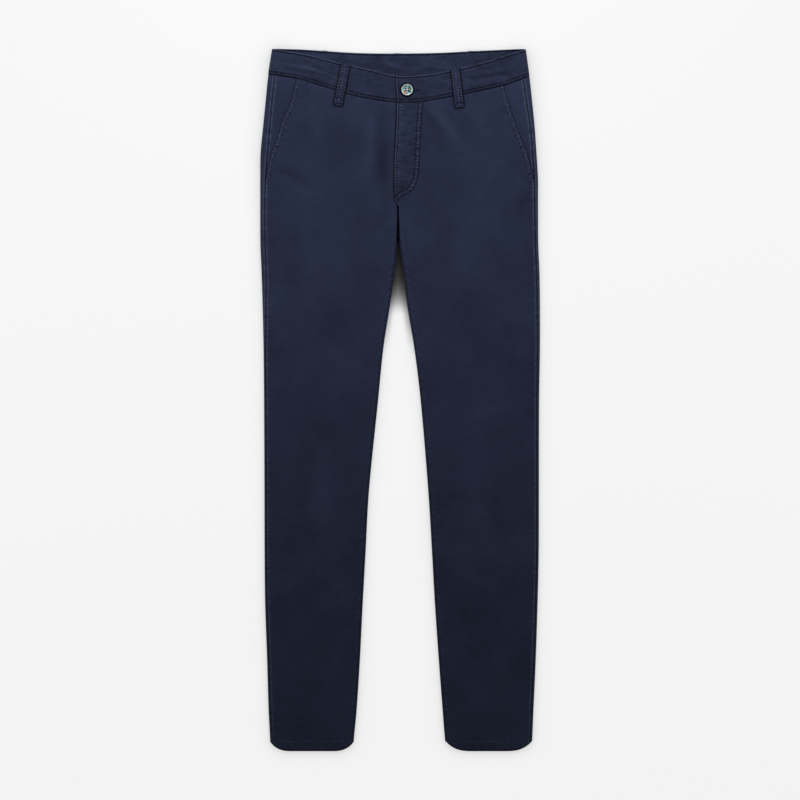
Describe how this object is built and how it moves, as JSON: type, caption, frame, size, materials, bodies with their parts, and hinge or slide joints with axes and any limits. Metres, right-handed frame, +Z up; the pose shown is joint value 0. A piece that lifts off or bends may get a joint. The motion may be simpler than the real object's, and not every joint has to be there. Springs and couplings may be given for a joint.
{
  "type": "chino trousers",
  "caption": "Plain slim chino trousers laid flat with the front up, with slanted pockets, a buttoned waistband and belt loops.",
  "frame": {"origin": "on the surface the trousers lie on, under the middle of their outline", "axes": "+Y towards the waist, +X towards the wearer's left leg, +Z up out of the front"},
  "size_m": [0.4408, 1.1102, 0.0178],
  "materials": {
    "chino_cloth": "dark navy brushed cotton twill, matt",
    "button_face": "pale polished horn-like resin with a cream rim"
  },
  "bodies": {
    "root": {"front_right": "chino_cloth", "front_left": "chino_cloth", "back_right": "chino_cloth", "back_left": "chino_cloth", "pocket_facing_right": "chino_cloth", "pocket_facing_left": "chino_cloth", "waistband": "chino_cloth", "belt_loop_front_right": "chino_cloth", "belt_loop_front_left": "chino_cloth", "belt_loop_back_right": "chino_cloth", "belt_loop_back_centre": "chino_cloth", "belt_loop_back_left": "chino_cloth", "button": "button_face"}
  },
  "joints": []
}
